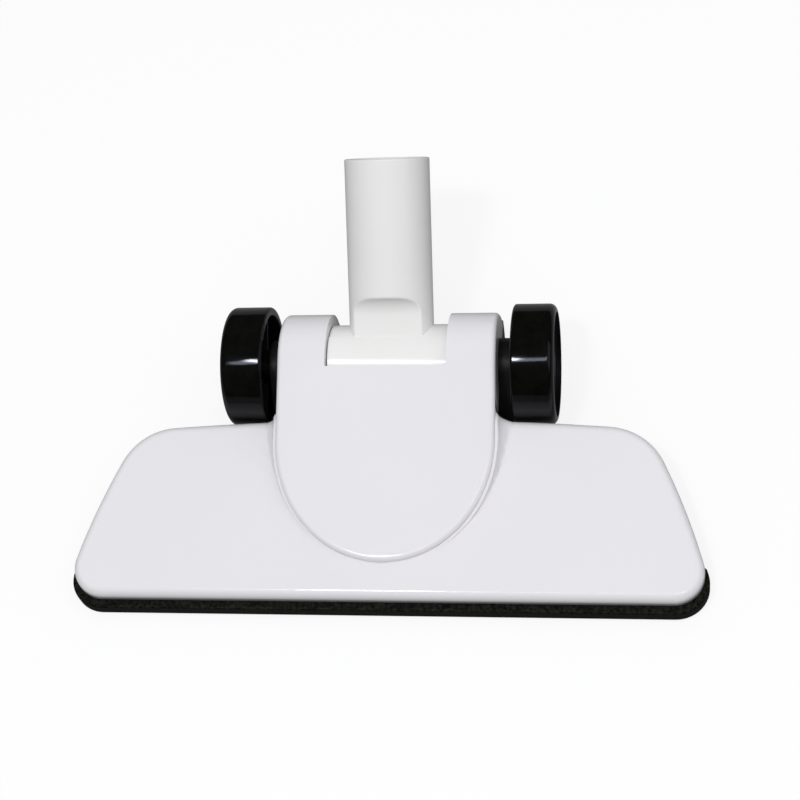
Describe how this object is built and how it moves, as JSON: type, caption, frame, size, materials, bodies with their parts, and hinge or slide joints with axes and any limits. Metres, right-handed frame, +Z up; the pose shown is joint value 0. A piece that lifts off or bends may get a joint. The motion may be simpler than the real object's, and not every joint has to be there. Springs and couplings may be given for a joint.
{
  "type": "vacuum floor brush head",
  "caption": "Vacuum floor brush head: wide tapered nozzle with a shield-shaped neck, tilting wand tube, rear wheels, front bumper, bristle strips and a suction mouth underneath.",
  "frame": {"origin": "on the floor, under the middle of the whole head's box", "axes": "+X along the head's width, -Y forwards to the bumper, +Y back to the wand tube, +Z up"},
  "size_m": [0.2596, 0.181, 0.0914],
  "materials": {
    "gloss_white": "polished",
    "satin_white": "satin",
    "black_plastic": "fine texture",
    "gloss_black": "polished",
    "grey_plastic": "satin",
    "black_rubber": "matte",
    "grey_foam": "matte",
    "dark_nylon": "fine bristles",
    "zinc_steel": "bright zinc"
  },
  "bodies": {
    "head": {"top_cover": "gloss_white", "neck_cover": "gloss_white", "yoke": "black_plastic", "base_plate": "black_plastic", "front_bumper": "black_rubber", "throat_seal": "grey_foam", "wing_screws": "zinc_steel", "shield_screws": "zinc_steel", "ear_screws": "zinc_steel", "front_brush_strip": "black_plastic", "rear_brush_strip": "black_plastic", "front_bristles": "dark_nylon", "rear_bristles": "dark_nylon", "wheel_axle_right": "black_plastic", "wheel_axle_left": "black_plastic", "roller_pin_right": "zinc_steel", "roller_pin_left": "zinc_steel"},
    "tube": {"tilt_tube": "satin_white", "journal_seal_right": "black_rubber", "journal_seal_left": "black_rubber"},
    "wheel_right": {"rear_wheel_right": "gloss_black"},
    "roller_right": {"front_roller_right": "grey_plastic"},
    "wheel_left": {"rear_wheel_left": "gloss_black"},
    "roller_left": {"front_roller_left": "grey_plastic"}
  },
  "joints": [
    {"name": "tube_tilt", "type": "hinge", "parent": "head", "child": "tube", "pos_m": [0, 0.01236, 0.025], "axis": [1, 0, 0], "range_deg": [-32, 46]},
    {"name": "wheel_right_spin", "type": "hinge", "parent": "head", "child": "wheel_right", "pos_m": [0.05975, 0.01236, 0.025], "axis": [1, 0, 0], "continuous": true},
    {"name": "wheel_left_spin", "type": "hinge", "parent": "head", "child": "wheel_left", "pos_m": [-0.05975, 0.01236, 0.025], "axis": [1, 0, 0], "continuous": true},
    {"name": "roller_right_spin", "type": "hinge", "parent": "head", "child": "roller_right", "pos_m": [0.107, -0.06115, 0.006], "axis": [1, 0, 0], "continuous": true},
    {"name": "roller_left_spin", "type": "hinge", "parent": "head", "child": "roller_left", "pos_m": [-0.107, -0.06115, 0.006], "axis": [1, 0, 0], "continuous": true}
  ]
}
